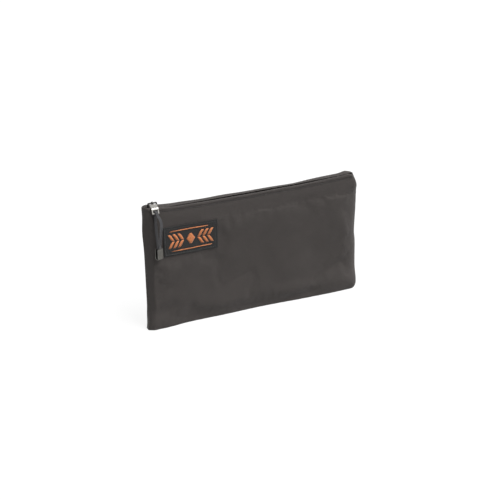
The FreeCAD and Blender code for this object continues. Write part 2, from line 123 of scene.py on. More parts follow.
floor_shape = bmesh.new()
bmesh.ops.create_grid(floor_shape, x_segments=4, y_segments=4, size=12)
floor = to_scene("floor", floor_shape)
floor_paint = bpy.data.materials.new("floor_paint")
floor_paint.use_nodes = True
floor_tree = floor_paint.node_tree
floor_shader = floor_tree.nodes["Principled BSDF"]
floor_shader.inputs["Base Color"].default_value = (0.15, 0.15, 0.15, 1)
floor_shader.inputs["Roughness"].default_value = 0.9
floor_shader.inputs["Emission Color"].default_value = (1, 1, 1, 1)
floor_white = 0.88
floor_glow = reckon(floor_tree, "MULTIPLY", seen_share(floor_tree), floor_white)
floor_tree.links.new(floor_glow, floor_shader.inputs["Emission Strength"])
floor.data.materials.append(floor_paint)

surroundings = bpy.data.worlds.new("surroundings")
scene.world = surroundings
surroundings.use_nodes = True
sky = surroundings.node_tree
sky.nodes["Background"].inputs["Color"].default_value = (1, 1, 1, 1)
sky_glow = node_between(
    sky, "ShaderNodeMapRange", {"Value": seen_share(sky), "To Min": 0.18, "To Max": 1.0}
)
sky.links.new(sky_glow.outputs[0], sky.nodes["Background"].inputs["Strength"])
for lamp_name, strength, spread, aim in (
    ("key_light", 3.0, 40, (-0.45, 0.42, -1.0)),
    ("fill_light", 0.3, 90, (-0.5, 1.0, -0.35)),
):
    lamp = bpy.data.objects.new(lamp_name, bpy.data.lights.new(lamp_name, "SUN"))
    lamp.data.energy = strength
    lamp.data.angle = math.radians(spread)
    lamp.rotation_euler = Vector(aim).to_track_quat("-Z", "Y").to_euler()
    scene.collection.objects.link(lamp)

# Front wall: black nylon over foam padding, sewn to the back wall along both ends and the
# bottom, and turned in at the top as a hem. The padding swells it between its sewn edges.
half_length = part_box("front_panel")[1][0]
wall_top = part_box("front_panel")[1][2]
belly = 0.0112
stitch_level = 0.1732
seam_lift = 0.0022
wall_outside = [
    (0.0, seam_lift), (0.0012, 0.0), (0.0054, 0.0), (0.0097, 0.0), (0.0104, 0.0011),
    (0.0110, 0.0070), (0.0118, 0.0150), (0.0121, 0.0250), (0.0118, 0.0420), (belly, 0.0650),
    (belly, 0.0950), (belly, 0.1300), (0.0109, 0.1500), (0.0104, 0.1620), (0.0096, 0.1690),
    (0.0089, 0.1728), (0.0089, 0.1736), (0.0095, 0.1750),
]
wall_inside = [
    (0.0, seam_lift), (0.0030, 0.0044), (0.0066, 0.0046), (0.0071, 0.0120), (0.0071, 0.0800),
    (0.0071, 0.1500), (0.0072, 0.1620),
]
front_crest = [(0.0096, 0.1775), (0.0089, 0.1789), (0.0079, 0.1790)]
front_lip = [(0.0072, 0.1740), (0.0066, 0.1762), (0.0066, 0.1784), (0.0079, 0.1790)]
wall_columns = 112
row_steps = np.concatenate(
    [np.linspace(0, 0.1, 18)[:-1], np.linspace(0.1, 0.84, 31)[:-1], np.linspace(0.84, 1, 24)]
)
end_columns = 22
end_reach = 0.037


def smooth_line(controls, spacing):
    """Points at given shares along a smooth line that control points draw, and the line's length."""
    curve = bpy.data.curves.new("drawn_line", "CURVE")
    curve.dimensions = "3D"
    spline = curve.splines.new("NURBS")
    spline.points.add(len(controls) - 1)
    for point, place in zip(spline.points, controls):
        point.co = (*place, 1)
    spline.order_u = 3
    spline.use_endpoint_u = True
    spline.resolution_u = 24
    holder = bpy.data.objects.new("drawn_line", curve)
    drawn = bpy.data.meshes.new_from_object(holder)
    line = np.array([vert.co for vert in drawn.vertices])
    bpy.data.objects.remove(holder)
    bpy.data.curves.remove(curve)
    bpy.data.meshes.remove(drawn)
    run = np.concatenate([[0], np.cumsum(np.linalg.norm(np.diff(line, axis=0), axis=1))])
    wanted = np.asarray(spacing) * run[-1]
    return np.column_stack([np.interp(wanted, run, axis) for axis in line.T]), run[-1]


def ease(number, low, high):
    """A smooth step from 0 at low to 1 at high."""
    share = min(max((number - low) / (high - low), 0), 1)
    return share * share * (3 - 2 * share)


def end_swell(x, height, reach=0.0):
    """Share of the wall's depth left near a sewn end; reach draws the end in, hem and foot stay fuller."""
    hem = ease(height, 0.150, 0.168)
    foot = 1 - ease(height, 0.003, 0.030)
    if x < 0:
        start = 0.150 - 0.009 * ease(height, 0.090, 0.150) * (1 - hem) + 0.004 * foot
        roundness = 1.2 + 0.8 * hem + 2.5 * foot
    else:
        start = 0.138 + 0.017 * hem + 0.010 * foot
        roundness = 2 + hem + foot
    share = min(max((abs(x) - start + reach) / (half_length - start), 0), 1)
    return (1 - share**roundness) ** (1 / roundness)


def column_place(column):
    """Distance along the bag of a column of the wall, closer together towards the sewn ends."""
    middle = (wall_columns - 2 * end_columns) / 2
    steps = abs(column - wall_columns / 2)
    inner_end = half_length - end_reach
    if steps <= middle:
        place = inner_end * steps / middle
    else:
        place = inner_end + end_reach * math.sin(math.pi / 2 * (steps - middle) / end_columns)
    return math.copysign(place, column - wall_columns / 2)


hem_waves = [
    (-0.108, 0.028, 0.0010), (-0.040, 0.022, 0.0008), (0.063, 0.022, -0.0014), (0.150, 0.009, 0.0017),
]


def hem_line(x, side):
    """How far the hem's crest stands off its usual level: up at the slider's end, down under the tab."""
    upturn = min(max((-x - 0.110) / 0.046, 0), 1) ** 1.6
    wave = 0.0022 * (x / half_length) ** 2
    for place, width, rise in hem_waves:
        wave += rise * math.exp(-(((x - place) / width) ** 2)) * (1 if side > 0 else 0.25)
    if side > 0:
        return wave + 0.0053 * upturn - 0.0013
    tab_middle, tab_half = -0.1445, 0.0075
    under_tab = 0.0009 * math.exp(-(((x - tab_middle) / tab_half) ** 2))
    return wave + 0.0045 * upturn + 0.0012 - under_tab


def end_shift(x, up, side=-1, full=1.0):
    """How far a sewn end stands out or in along the bag: full at the left, round at the right hem."""
    edge = ease(abs(x), 0.120, half_length)
    if x < 0:
        out = 0.0004 + 0.0012 * math.exp(-(((up - 0.146) / 0.018) ** 2))
        out += 0.0010 * math.exp(-(((up - 0.019) / 0.010) ** 2))
        out *= ease(up, 0.0, 0.012) * (1 - ease(up, 0.158, 0.174))
        return -edge * (out + 0.0022 * (1 - ease(up, 0.0, 0.016)) + 0.0004 * ease(up, 0.165, 0.180))
    kink = 0.009 if up < 0.088 else 0.030
    drawn_in = 0.0018 * math.exp(-(((up - 0.088) / kink) ** 2))
    drawn_in += (0.0060 + (0.0030 * full if side < 0 else 0)) * min(max((up - 0.160) / 0.020, 0), 1) ** 1.3
    return edge * (0.0006 * (1 - ease(up, 0.020, 0.075)) - drawn_in)


def shade_smooth(shape):
    """Shade every face of a bmesh smoothly."""
    for face in shape.faces:
        face.smooth = True


def wall_blank(name, side, crest, lip, hollows, drift):
    """A closed padded wall: the outer cloth up from the bottom seam, over the hem and down the inside."""
    outer, outer_run = smooth_line([(0, depth, up) for depth, up in wall_outside + crest], row_steps)
    inner, inner_run = smooth_line([(0, depth, up) for depth, up in wall_inside + lip], row_steps)
    crest_row = len(row_steps) - 1
    crest_climb = row_steps[np.argmax(outer[:, 2])]
    places = [column_place(column) for column in range(wall_columns + 1)]
    girth = [0.0]
    for here, ahead in zip(places, places[1:]):
        sink = belly * (end_swell(ahead, 0.09) - end_swell(here, 0.09))
        girth.append(girth[-1] + math.hypot(ahead - here, sink))
    shape = bmesh.new()
    weave = shape.loops.layers.uv.new("weave")
    bmesh.ops.create_grid(shape, x_segments=wall_columns, y_segments=2 * crest_row, size=1)
    spots = {}
    for vert in shape.verts:
        column = round((vert.co.x + 1) / 2 * wall_columns)
        row = round((vert.co.y + 1) / 2 * 2 * crest_row)
        spots[vert] = (column, row)
    for face in shape.faces:
        for loop in face.loops:
            column, row = spots[loop.vert]
            if row <= crest_row:
                climb = row_steps[row] * outer_run
            else:
                climb = outer_run + (1 - row_steps[2 * crest_row - row]) * inner_run
            loop[weave].uv = (girth[column], climb)
    for vert, (column, row) in spots.items():
        outside = row <= crest_row
        step = row if outside else 2 * crest_row - row
        depth, up = (outer if outside else inner)[step][1:]
        x = column_place(column)
        climb = min(row_steps[step] / crest_climb, 1)
        end_up = wall_top * max(climb - 0.05 * (1 - climb), 0.03 * climb)
        up += (end_up - up) * ease(abs(x), half_length - 0.010, half_length)
        full = end_swell(x, max(up, 0.035) if side > 0 and x < 0 else up)
        if not outside:
            full += (end_swell(x, 0.09, reach=0.009) - full) * (1 - ease(up, 0.150, 0.166))
        if outside:
            if x > 0:
                flare = ease(x, 0.0, 0.085) * 0.32
            else:
                flare = ease(-x, 0.100, 0.140) * (1 - 0.8 * ease(-x, 0.150, half_length)) * 0.26
            depth *= 1 + flare * (1 - ease(up, 0.004, 0.040))
            soft = ease(up, 0.004, 0.03) * (1 - ease(up, 0.150, 0.166))
            broad_wave, fine_wave = 0.0020, 0.0007
            depth += soft * broad_wave * noise.noise(Vector((x * 14 + drift, up * 17, drift)))
            depth += soft * fine_wave * noise.noise(Vector((x * 42, up * 38 + drift, drift)))
            for place, height, wide, tall, lean, sink in hollows:
                along = (x - place) * math.cos(lean) + (up - height) * math.sin(lean)
                across = (up - height) * math.cos(lean) - (x - place) * math.sin(lean)
                depth -= sink * math.exp(-((along / wide) ** 2) - (across / tall) ** 2)
        corner = 0.0008 if x < 0 else 0.011
        over = max(abs(x) - (half_length - corner), 0)
        lift = corner - math.sqrt(max(corner**2 - over**2, 0))
        hem = ease(up, 0.145, 0.172)
        up = lift + up * (1 - lift / wall_top)
        flap = 0.75 * (1 - ease(depth, 0.002, 0.0075)) if side > 0 else 0
        up += hem * (hem_line(x, side) + 0.0005 * noise.noise(Vector((x * 22, drift, 0.3)))) * (1 - flap)
        if x < 0 and side < 0:
            x -= 0.0014 * full * ease(-x, 0.125, 0.155) * (1 - ease(up, 0.0, 0.030))
        x += end_shift(x, up, side, full)
        vert.co = (x, side * depth * full, up)
    rim = [vert for vert in shape.verts if vert.is_boundary]
    seam = shape.edges.layers.float.new("crease_edge")
    for edge in shape.edges:
        edge[seam] = 1.0 if edge.is_boundary else 0.0
    bmesh.ops.remove_doubles(shape, verts=rim, dist=1e-6)
    bmesh.ops.recalc_face_normals(shape, faces=shape.faces)
    if shape.calc_volume(signed=True) < 0:
        bmesh.ops.reverse_faces(shape, faces=shape.faces)
    shade_smooth(shape)
    return to_scene(name, shape)


def swell_padding(wall, stiff_box=None):
    """Let the cloth between the sewn edges settle under the padding's push; a label stiffens it."""
    sewn = wall.vertex_groups.new(name="sewn")
    start = [vert.co.copy() for vert in wall.data.vertices]
    for vert in wall.data.vertices:
        x, y, z = vert.co
        on_face = abs(y) > 0.0075 * end_swell(x, z) and z < 0.166
        free = ease(half_length - abs(x), 0.002, 0.022) * ease(z, 0.004, 0.02)
        free *= 1 - ease(z, 0.150, 0.164)
        if stiff_box:
            low, high = stiff_box
            free *= ease(max(low[0] - x, x - high[0], low[2] - z, z - high[2]), -0.002, 0.012)
        sewn.add([vert.index], 1 - free if on_face else 1, "REPLACE")
    cloth = wall.modifiers.new("padding", "CLOTH")
    cloth.settings.quality = 6
    cloth.settings.mass = 0.25
    cloth.settings.tension_stiffness = 12
    cloth.settings.compression_stiffness = 12
    cloth.settings.shear_stiffness = 4
    cloth.settings.bending_stiffness = 1.5
    cloth.settings.shrink_min = -0.007
    cloth.settings.use_pressure = True
    cloth.settings.uniform_pressure_force = 0.9
    cloth.settings.vertex_group_mass = "sewn"
    cloth.settings.effector_weights.gravity = 0
    settling_frames = 20
    cloth.point_cache.frame_end = settling_frames
    for moment in range(1, settling_frames + 1):
        scene.frame_set(moment)
    settled = wall.evaluated_get(bpy.context.evaluated_depsgraph_get()).data
    moves = [settled.vertices[vert.index].co - start[vert.index] for vert in wall.data.vertices]
    wall.modifiers.clear()
    scene.frame_set(1)
    most_move = 0.0015
    for vert, move in zip(wall.data.vertices, moves):
        vert.co = start[vert.index] + move * min(1, most_move / max(move.length, 1e-9))
    wall.vertex_groups.clear()


def refine(piece, levels=1):
    """Round a piece with subdivision and keep the finer mesh."""
    finer = piece.modifiers.new("rounding", "SUBSURF")
    finer.levels = finer.render_levels = levels
    coarse = piece.data
    rounded = piece.evaluated_get(bpy.context.evaluated_depsgraph_get())
    piece.data = bpy.data.meshes.new_from_object(rounded)
    piece.data.name = piece.name
    piece.modifiers.clear()
    bpy.data.meshes.remove(coarse)


def pucker(wall, side, drift):
    """Small gathers where the thread pulls the cloth in, along the hem's stitch row and beside the seams."""
    for vert in wall.data.vertices:
        x, y, z = vert.co
        if side * y < 0.0015:
            continue
        hem_row = math.exp(-(((z - stitch_level - hem_line(x, side)) / 0.004) ** 2))
        seam = math.exp(-((half_length - abs(x)) / 0.008)) + math.exp(-z / 0.007)
        ripple = noise.noise(Vector((x * 210 + drift, 0.0, drift))) * hem_row * 0.00028
        gather = noise.noise(Vector((x * 150, z * 150, drift))) * seam * 0.00035
        vert.co.y += side * (ripple + gather)


def new_finish(name):
    """A new material with its node tree, its shader and the place on the piece that its patterns follow."""
    finish = bpy.data.materials.new(name)
    finish.use_nodes = True
    tree = finish.node_tree
    place = node_between(tree, "ShaderNodeTexCoord", {}).outputs["Object"]
    return finish, tree, tree.nodes["Principled BSDF"], place


def clouds(tree, place, scale, detail):
    """A soft noise pattern."""
    return node_between(
        tree, "ShaderNodeTexNoise", {"Vector": place, "Scale": scale, "Detail": detail}
    ).outputs[0]


def colour_between(tree, share, first, second):
    """A colour between two, by a share from 0 to 1."""
    return node_between(
        tree, "ShaderNodeMix", {"Factor": share, "A": (*first, 1), "B": (*second, 1)}, data_type="RGBA"
    ).outputs["Result"]


def raise_by(tree, shader, height, strength, distance):
    """Bump the shaded surface by a height pattern."""
    bump = node_between(
        tree, "ShaderNodeBump", {"Height": height, "Strength": strength, "Distance": distance}
    )
    tree.links.new(bump.outputs[0], shader.inputs["Normal"])


def woven_cloth(name, dark, pale, pitch, relief, roughness, sheen):
    """Plain-woven cloth on the piece's own weave map: threads over and under, painted shade between the
    threads, uneven dye, soft sheen.
    """
    finish, tree, shader, place = new_finish(name)
    weave = node_between(tree, "ShaderNodeUVMap", {}, uv_map="weave").outputs[0]
    along = node_between(tree, "ShaderNodeSeparateXYZ", {0: weave})
    warp, weft = (
        reckon(tree, "SINE", reckon(tree, "MULTIPLY", along.outputs[axis], math.pi / pitch))
        for axis in (0, 1)
    )
    warp_up = reckon(tree, "GREATER_THAN", reckon(tree, "MULTIPLY", warp, weft), 0.0)
    thread = node_between(
        tree,
        "ShaderNodeMix",
        {"Factor": warp_up, "A": reckon(tree, "ABSOLUTE", warp), "B": reckon(tree, "ABSOLUTE", weft)},
    ).outputs[0]
    uneven = clouds(tree, place, 55.0, 4.0)
    fibre = clouds(tree, place, 900.0, 3.0)
    # Painted shade: the gaps between threads take the dark colour and the threads' tops the pale one, over a
    # random uneven tone.
    tone = reckon(tree, "MULTIPLY_ADD", uneven, 0.5, reckon(tree, "MULTIPLY_ADD", thread, 0.45, -0.05))
    tree.links.new(colour_between(tree, tone, dark, pale), shader.inputs["Base Color"])
    rough = reckon(tree, "MULTIPLY_ADD", uneven, 0.16, roughness - 0.08)
    tree.links.new(rough, shader.inputs["Roughness"])
    raise_by(tree, shader, reckon(tree, "MULTIPLY_ADD", fibre, 0.35, thread), 0.6, relief)
    shader.inputs["Sheen Weight"].default_value = sheen
    shader.inputs["Sheen Roughness"].default_value = 0.45
    shader.inputs["Specular IOR Level"].default_value = 0.3
    return finish


nylon = woven_cloth(
    "black_nylon", (0.040, 0.0346, 0.0324), (0.092, 0.0805, 0.0755),
    pitch=0.0009, relief=0.00022, roughness=0.62, sheen=0.12,
)
# Hollows as place, height, half width, half height, lean and depth; a depth below 0 is a swelling.
front_hollows = [
    (0.054, 0.007, 0.022, 0.006, 0.10, 0.0022),
    (0.082, 0.010, 0.015, 0.007, 0.10, 0.0020),
    (-0.008, 0.008, 0.030, 0.007, -0.10, 0.0015),
    (-0.090, 0.011, 0.026, 0.009, -0.10, 0.0018),
    (-0.138, 0.022, 0.018, 0.014, 0.0, 0.0012),
    (-0.048, 0.017, 0.026, 0.012, 0.0, -0.0017),
    (0.056, 0.021, 0.024, 0.012, 0.2, -0.0018),
    (0.126, 0.020, 0.026, 0.016, 0.2, -0.0024),
    (0.105, 0.085, 0.026, 0.030, 0.2, 0.0012),
    (0.020, 0.085, 0.060, 0.030, 0.3, 0.0012),
]
front_drift, back_drift = 3.7, 9.2
front_wall = wall_blank("front_wall", -1, front_crest, front_lip, front_hollows, front_drift)
swell_padding(front_wall, stiff_box=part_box("label_patch"))
refine(front_wall)
pucker(front_wall, -1, front_drift)
front_wall.data.materials.append(nylon)
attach(front_wall, "bag")
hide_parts("front_panel", "front_foam")

# Back wall: the same padded nylon, its hem running on as a thin flap over the zipper. Made whole, then
# parted at mid-length into two pieces that lie edge to edge.
back_crest = [
    (0.0096, 0.1768), (0.0090, 0.1784), (0.0076, 0.1787),
    (0.0050, 0.1785), (0.0028, 0.1779), (0.0016, 0.1771),
]
back_lip = [
    (0.0072, 0.1735), (0.0070, 0.1764), (0.0055, 0.1774),
    (0.0030, 0.1772), (0.0020, 0.1767), (0.0016, 0.1771),
]
back_hollows = [
    (-0.060, 0.030, 0.060, 0.012, -0.1, 0.0018),
    (0.040, 0.100, 0.080, 0.045, 0.4, 0.0012),
    (0.100, 0.040, 0.040, 0.030, 0.2, 0.0010),
]
back_whole = wall_blank("back_whole", 1, back_crest, back_lip, back_hollows, back_drift)
swell_padding(back_whole)
refine(back_whole)
pucker(back_whole, 1, back_drift)


def part_at_middle(whole, left_name, right_name):
    """Cut a piece of the back at mid-length, close both cut ends and remove the whole."""
    halves = []
    for name, keep in ((left_name, 1), (right_name, -1)):
        shape = bmesh.new()
        shape.from_mesh(whole.data)
        snap = 0.0003
        for vert in shape.verts:
            if abs(vert.co.x) < snap:
                vert.co.x = 0
        cut = bmesh.ops.bisect_plane(
            shape,
            geom=shape.verts[:] + shape.edges[:] + shape.faces[:],
            dist=1e-6,
            plane_co=(0, 0, 0),
            plane_no=(keep, 0, 0),
            clear_outer=True,
        )
        rim = [part for part in cut["geom_cut"] if isinstance(part, bmesh.types.BMEdge)]
        bmesh.ops.holes_fill(shape, edges=[edge for edge in rim if edge.is_boundary], sides=0)
        for edge in rim:
            edge.smooth = False
        half = to_scene(name, shape)
        for finish in whole.data.materials:
            half.data.materials.append(finish)
        halves.append(half)
    bpy.data.objects.remove(whole)
    return halves


def bend_with_mouth(piece):
    """Bake a piece of the back's placement into its mesh."""
    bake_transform(piece)


back_whole.data.materials.append(nylon)
for half in part_at_middle(back_whole, "back_wall_left", "back_wall_right"):
    bend_with_mouth(half)
    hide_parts("back_panel", "back_foam")

# Linings: smooth dark cloth inside each padded wall, sewn in below the hem and along the
# ends and bottom. The back one is parted at mid-length like its wall.
lining_cloth = woven_cloth(
    "dark_lining", (0.030, 0.030, 0.034), (0.062, 0.062, 0.068),
    pitch=0.0005, relief=0.0001, roughness=0.5, sheen=0.05,
)
lining_thick = 0.0004
lining_face = 0.0068
lining_half = 0.1475
lining_foot, lining_head = 0.0056, 0.1615


def face_sheet(shape, side):
    """Make an open sheet's faces look towards the front for -1 or the back for 1."""
    bmesh.ops.recalc_face_normals(shape, faces=shape.faces)
    if sum(face.normal.y for face in shape.faces) * side < 0:
        bmesh.ops.reverse_faces(shape, faces=shape.faces)


def lining_sheet(name, side, drift):
    """A cloth sheet that follows the inside of a wall, with faint slack folds."""
    shape = bmesh.new()
    weave = shape.loops.layers.uv.new("weave")
    bmesh.ops.create_grid(shape, x_segments=96, y_segments=48, size=1)
    for vert in shape.verts:
        x = lining_half * math.sin(vert.co.x * math.pi / 2 * 0.97) / math.sin(math.pi / 2 * 0.97)
        z = lining_foot + (lining_head - lining_foot) * (vert.co.y + 1) / 2
        depth = lining_face * end_swell(x, 0.09, reach=0.0105)
        depth *= 1 - 0.75 * math.exp(-((z - lining_foot) / 0.003))
        slack = ease(z, 0.01, 0.05) * (1 - ease(z, 0.12, 0.158)) * ease(lining_half - abs(x), 0.004, 0.03)
        depth -= 0.0008 * slack * (1 + noise.noise(Vector((x * 25, z * 18, drift))))
        vert.co = (x, side * max(depth, 0.0003), z)
    for face in shape.faces:
        face.smooth = True
        for loop in face.loops:
            loop[weave].uv = (loop.vert.co.x, loop.vert.co.z)
    face_sheet(shape, -side)
    bmesh.ops.solidify(shape, geom=shape.faces[:], thickness=lining_thick)
    sheet = to_scene(name, shape)
    sheet.data.set_sharp_from_angle(angle=math.radians(50))
    sheet.data.materials.append(lining_cloth)
    return sheet


front_lining = lining_sheet("front_lining_cloth", -1, 1.0)
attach(front_lining, "bag")
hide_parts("front_lining")
back_lining = lining_sheet("back_lining_whole", 1, 5.0)
for half in part_at_middle(back_lining, "back_lining_left", "back_lining_right"):
    bend_with_mouth(half)
    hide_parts("back_lining")

# Zipper tapes: narrow black herringbone tape, one edge sewn inside each hem and the other turned
# level to carry the teeth. Their ends stop just inside the side seams.
tooth_level = (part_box("front_teeth")[0][2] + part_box("front_teeth")[1][2]) / 2
tape_half, tape_turn = 0.1550, 0.1537
tape_thick = 0.0006
tape_section = [
    (0, 0.0033, tooth_level), (0, 0.0052, tooth_level), (0, 0.0067, tooth_level),
    (0, 0.0069, tooth_level - 0.0007), (0, 0.0068, tooth_level - 0.0030), (0, 0.0068, 0.1625),
]


def herringbone(name, dark, pale):
    """Narrow-woven tape: slanted ribs that turn back every few threads across the width, with painted shade
    in the grooves.
    """
    finish, tree, shader, place = new_finish(name)
    weave = node_between(tree, "ShaderNodeUVMap", {}, uv_map="weave").outputs[0]
    axes = node_between(tree, "ShaderNodeSeparateXYZ", {0: weave})
    turn_back = reckon(tree, "PINGPONG", axes.outputs[1], 0.0016)
    slanted = reckon(tree, "ADD", axes.outputs[0], turn_back)
    slanted = reckon(tree, "MULTIPLY", slanted, math.pi / 0.0006)
    rib = reckon(tree, "ABSOLUTE", reckon(tree, "SINE", slanted))
    uneven = clouds(tree, place, 240.0, 3.0)
    # Painted shade: the grooves between the ribs take the dark colour, broken up by a random tone.
    colour = colour_between(tree, reckon(tree, "MULTIPLY", rib, uneven), dark, pale)
    tree.links.new(colour, shader.inputs["Base Color"])
    tree.links.new(reckon(tree, "MULTIPLY_ADD", uneven, 0.2, 0.6), shader.inputs["Roughness"])
    raise_by(tree, shader, rib, 0.7, 0.00015)
    shader.inputs["Sheen Weight"].default_value = 0.1
    return finish


tape_weave = herringbone("zipper_tape", (0.010, 0.010, 0.011), (0.045, 0.045, 0.048))


def tape_strip(name, side):
    """One tape, from its level edge at the teeth to the foot of its sewn leg."""
    rows = 16
    section, width = smooth_line(tape_section, np.linspace(0, 1, rows + 1))
    shape = bmesh.new()
    weave = shape.loops.layers.uv.new("weave")
    bmesh.ops.create_grid(shape, x_segments=160, y_segments=rows, size=1)
    for vert in shape.verts:
        row = round((vert.co.y + 1) / 2 * rows)
        x = vert.co.x * tape_half
        for loop in vert.link_loops:
            loop[weave].uv = (x, row / rows * width)
        depth, up = section[row][1:]
        inner_edge = section[0][1] * (1 - ease(abs(x), tape_turn, 0.159))
        hem_face = section[-1][1] * end_swell(x, 0.175) - 0.0001
        share = (depth - section[0][1]) / (section[-1][1] - section[0][1])
        dip = 0.002 * ease(-x, tape_turn, tape_half)
        up += 0.00008 * noise.noise(Vector((x * 40, side, 0))) * share - dip
        vert.co = (x + end_shift(x, 0.175), side * (inner_edge + (hem_face - inner_edge) * share), up)
    bmesh.ops.recalc_face_normals(shape, faces=shape.faces)
    bmesh.ops.solidify(shape, geom=shape.faces[:], thickness=tape_thick)
    shade_smooth(shape)
    strip = to_scene(name, shape)
    strip.data.set_sharp_from_angle(angle=math.radians(50))
    strip.data.materials.append(tape_weave)
    return strip


front_tape = tape_strip("front_zipper_tape", -1)
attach(front_tape, "bag")
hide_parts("front_tape")
back_tape = tape_strip("back_tape_whole", 1)
for half in part_at_middle(back_tape, "back_zipper_tape_left", "back_zipper_tape_right"):
    bend_with_mouth(half)
    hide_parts("back_tape")

# Zipper teeth: moulded black teeth clamped one by one on the tapes' edges. Each has a block, a
# waist and a head that locks between two heads of the other row, half a pitch along.
tooth_pitch = 0.003
tooth_half_height = 0.0013
tooth_side = [
    (0.00105, 0.0036), (0.00105, 0.0023), (0.0005, 0.0014),
    (0.0005, 0.00045), (0.0008, -0.00045), (0.00045, -0.0009),
]
row_start, row_end = (corner[0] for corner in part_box("front_teeth"))
teeth_in_row = round((row_end - row_start) / tooth_pitch)


def moulded_plastic(name, colour, roughness):
    """Satin moulded plastic with a faint moulding grain and dull, rubbed patches."""
    finish, tree, shader, place = new_finish(name)
    rubbed = clouds(tree, place, 300.0, 4.0)
    dulled = [shade * 2.2 + 0.004 for shade in colour]
    tree.links.new(colour_between(tree, rubbed, colour, dulled), shader.inputs["Base Color"])
    rough = reckon(tree, "MULTIPLY_ADD", rubbed, 0.25, roughness - 0.12)
    tree.links.new(rough, shader.inputs["Roughness"])
    raise_by(tree, shader, clouds(tree, place, 2500.0, 2.0), 0.25, 0.00005)
    return finish


tooth_plastic = moulded_plastic("moulded_teeth", (0.014, 0.014, 0.015), roughness=0.42)


def tooth_row(name, side, first, count):
    """A run of teeth from one bevelled tooth, repeated along the tape."""
    shape = bmesh.new()
    outline = tooth_side + [(-half, reach) for half, reach in reversed(tooth_side)]
    corners = [
        shape.verts.new((first + across, side * reach, tooth_level - tooth_half_height))
        for across, reach in outline
    ]
    base = shape.faces.new(corners)
    raised = bmesh.ops.extrude_face_region(shape, geom=[base])["geom"]
    bmesh.ops.translate(
        shape,
        verts=[part for part in raised if isinstance(part, bmesh.types.BMVert)],
        vec=(0, 0, 2 * tooth_half_height),
    )
    bmesh.ops.recalc_face_normals(shape, faces=shape.faces)
    bmesh.ops.bevel(
        shape, geom=shape.edges[:], offset=0.00016, segments=1, profile=0.5, affect="EDGES", material=-1
    )
    tooth = shape.verts[:] + shape.edges[:] + shape.faces[:]
    for step in range(1, count):
        copy = bmesh.ops.duplicate(shape, geom=tooth)["geom"]
        bmesh.ops.translate(
            shape,
            verts=[part for part in copy if isinstance(part, bmesh.types.BMVert)],
            vec=(step * tooth_pitch, 0, 0),
        )
    row = to_scene(name, shape)
    row.data.materials.append(tooth_plastic)
    return row


front_row_start = row_start + 0.0007
back_row_start = front_row_start + tooth_pitch / 2
front_teeth = tooth_row("front_tooth_row", -1, front_row_start, teeth_in_row)
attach(front_teeth, "bag")
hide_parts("front_teeth")
left_count = math.ceil(-back_row_start / tooth_pitch)
for name, first, count in (
    ("back_tooth_row_left", back_row_start, left_count),
    ("back_tooth_row_right", back_row_start + left_count * tooth_pitch, teeth_in_row - left_count),
):
    back_teeth = tooth_row(name, 1, first, count)
    bend_with_mouth(back_teeth)
    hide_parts("back_teeth")

# Zipper stops: small moulded blocks beyond the last teeth, one on each tape beside the closed
# slider and one across both tapes at the far end.


def softened(node, name, radius, segments=2):
    """A copy of a rigid node with its edges rounded over."""
    shape = bmesh.new()
    shape.from_mesh(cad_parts[node].data)
    bmesh.ops.remove_doubles(shape, verts=shape.verts, dist=1e-6)
    bmesh.ops.dissolve_limit(shape, angle_limit=math.radians(2), verts=shape.verts, edges=shape.edges)
    creases = [edge for edge in shape.edges if edge.is_manifold and edge.calc_face_angle() > math.radians(28)]
    bmesh.ops.bevel(
        shape,
        geom=creases,
        offset=radius,
        segments=segments,
        profile=0.5,
        affect="EDGES",
        clamp_overlap=True,
        material=-1,
    )
    shade_smooth(shape)
    piece = to_scene(name, shape)
    piece.data.set_sharp_from_angle(angle=math.radians(50))
    evened = piece.modifiers.new("even_shading", "WEIGHTED_NORMAL")
    evened.keep_sharp = True
    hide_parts(node)
    return piece


for node in ("front_top_stop", "back_top_stop", "bottom_stop"):
    stop = softened(node, f"{node}_block", 0.0004)
    stop.data.materials.append(tooth_plastic)
    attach(stop, "bag")

# Slider: a die-cast body of two shield-shaped plates on a wedge post, finished in black oxide
# that has rubbed thin in patches, and a wire bow on top that carries the pull.


def plated_metal(name, colour, rubbed_colour, roughness, scratch):
    """Plated or oxidised metal: uneven gloss, fine scratches and a finish rubbed thin in places."""
    finish, tree, shader, place = new_finish(name)
    shader.inputs["Metallic"].default_value = 1.0
    stretched = node_between(
        tree, "ShaderNodeMapping", {"Vector": place, "Scale": (2600.0, 500.0, 300.0)}
    ).outputs[0]
    cloudy = clouds(tree, place, 420.0, 5.0)
    rubbed = node_between(
        tree, "ShaderNodeMapRange", {"Value": cloudy, "From Min": 0.52, "From Max": 0.72}
    ).outputs[0]
    tree.links.new(colour_between(tree, rubbed, colour, rubbed_colour), shader.inputs["Base Color"])
    rough = reckon(tree, "MULTIPLY_ADD", cloudy, 0.3, roughness - 0.15)
    tree.links.new(rough, shader.inputs["Roughness"])
    raise_by(tree, shader, clouds(tree, stretched, 1.0, 3.0), scratch, 0.00004)
    return finish


black_oxide = plated_metal(
    "dark_metal", (0.045, 0.043, 0.041), (0.16, 0.155, 0.15), roughness=0.34, scratch=0.3
)
slider = softened("slider_body", "slider_casting", 0.0004, 3)
slider.data.materials.append(black_oxide)
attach(slider, "slider")

bow_low, bow_high = (Vector(corner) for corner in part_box("slider_crown"))
wire_radius = 0.0011
slider_middle = (bow_low.x + bow_high.x) / 2
bow_half = (bow_high.x - bow_low.x) / 2 - wire_radius
bow_foot, bow_bar = bow_low.z - 0.0003, bow_high.z - wire_radius
bow_bend = 0.0016
bow_controls = [
    (-bow_half, bow_foot), (-bow_half, bow_bar - bow_bend), (-bow_half, bow_bar),
    (-bow_half + bow_bend, bow_bar), (bow_half - bow_bend, bow_bar), (bow_half, bow_bar),
    (bow_half, bow_bar - bow_bend), (bow_half, bow_foot),
]
bow_line = smooth_line(
    [(slider_middle + across, 0, up) for across, up in bow_controls], np.linspace(0, 1, 41)
)[0]


